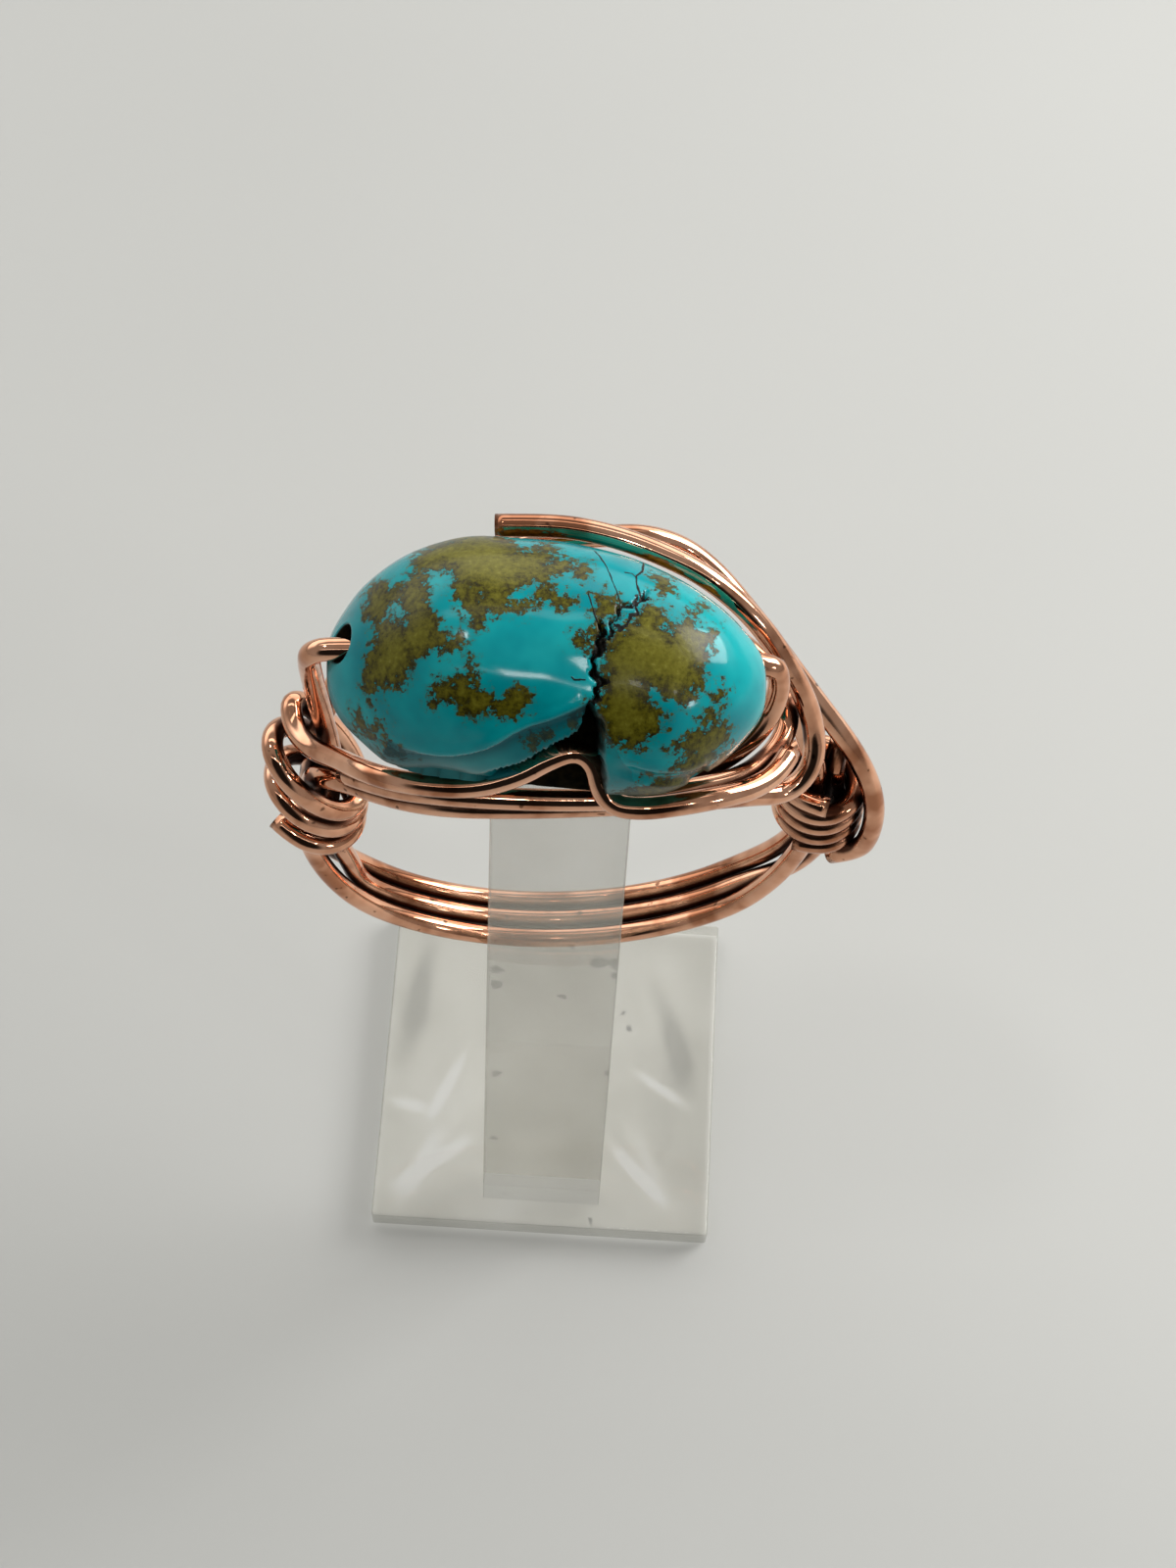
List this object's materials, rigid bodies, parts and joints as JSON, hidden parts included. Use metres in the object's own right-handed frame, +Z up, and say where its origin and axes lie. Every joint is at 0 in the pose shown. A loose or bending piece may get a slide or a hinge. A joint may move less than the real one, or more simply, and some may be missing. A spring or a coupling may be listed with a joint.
{
  "type": "wire wrapped ring on display stand",
  "caption": "Copper wire ring wrapped round a drilled turquoise nugget, held upright on a bent clear acrylic ring stand.",
  "frame": {"origin": "bottom centre of the stand's base plate", "axes": "+X to the right along the bead, +Y away from the viewer along the finger's axis, +Z up"},
  "size_m": [0.0236, 0.0172, 0.0461],
  "materials": {
    "copper_wire": "polished copper wire, lightly browned",
    "turquoise": "polished turquoise with olive brown matrix",
    "clear_acrylic": "clear acrylic, polished"
  },
  "bodies": {
    "root": {"front_band_wire": "copper_wire", "back_band_wire": "copper_wire", "middle_band_wire": "copper_wire", "front_accent_wire": "copper_wire", "right_wrap_wire": "copper_wire", "turquoise_bead": "turquoise", "display_stand": "clear_acrylic"}
  },
  "joints": []
}
